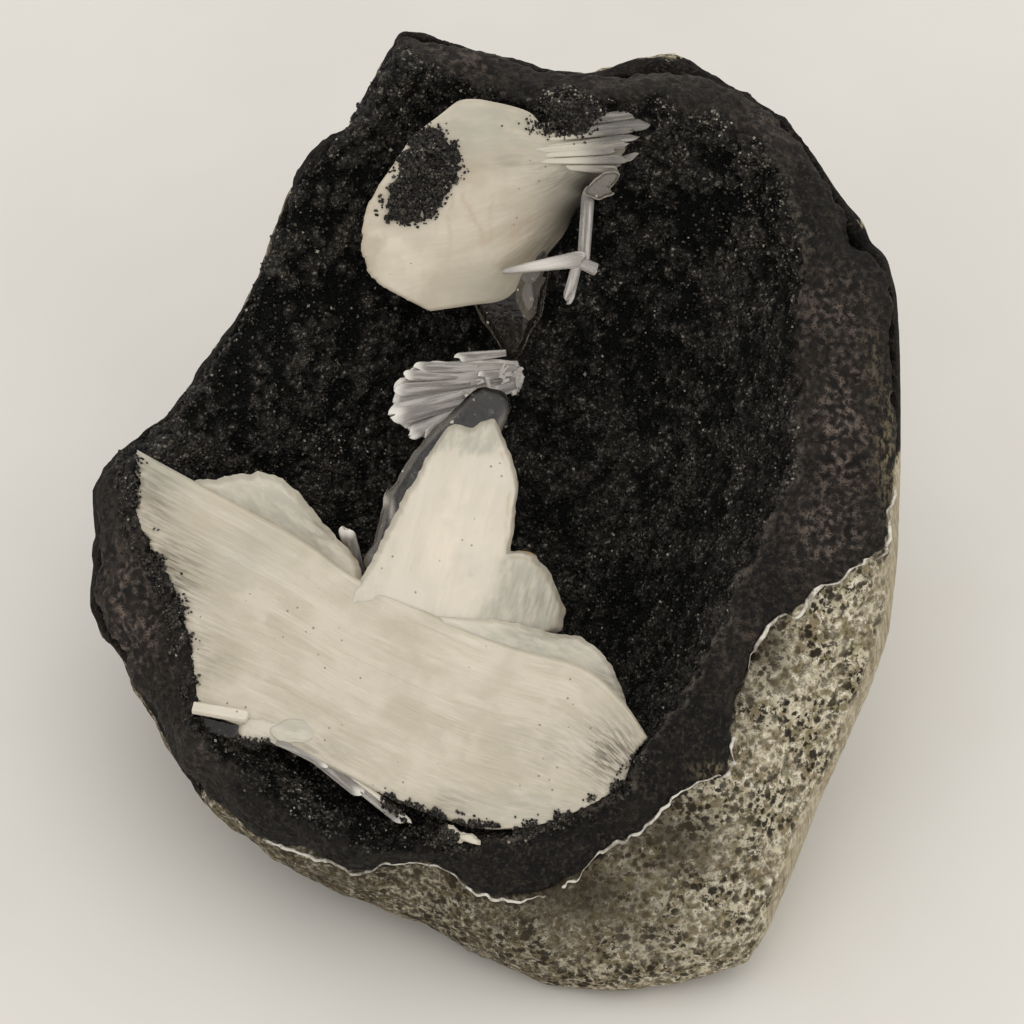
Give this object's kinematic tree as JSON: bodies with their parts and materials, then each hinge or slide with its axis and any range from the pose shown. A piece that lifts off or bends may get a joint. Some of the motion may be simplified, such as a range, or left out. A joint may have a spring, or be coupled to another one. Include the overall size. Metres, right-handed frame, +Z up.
{
  "type": "stilbite mineral specimen",
  "caption": "Half of a basalt vug, its hollow lined with black druse and crossed by cream bow-tie stilbite sheaves, leaning back on a flattened underside.",
  "frame": {"origin": "bottom centre of the specimen's box, level with the face it rests on", "axes": "+Z up from the rest face, +X to the right and -Y towards a viewer who looks into the hollow"},
  "size_m": [0.1168, 0.1164, 0.0864],
  "materials": {
    "basalt": "rough broken rock with a salt-and-pepper grain",
    "druse": "velvety black druse with fine sparkle",
    "stilbite": "pearly, finely ridged crystal",
    "glassy_stilbite": "clear to milky glassy crystal"
  },
  "bodies": {
    "root": {"basalt_matrix": "basalt", "drusy_lining": "druse", "lower_stilbite": "stilbite", "middle_stilbite_fan": "glassy_stilbite", "upper_stilbite": "stilbite", "druse_crust": "druse"}
  },
  "joints": []
}
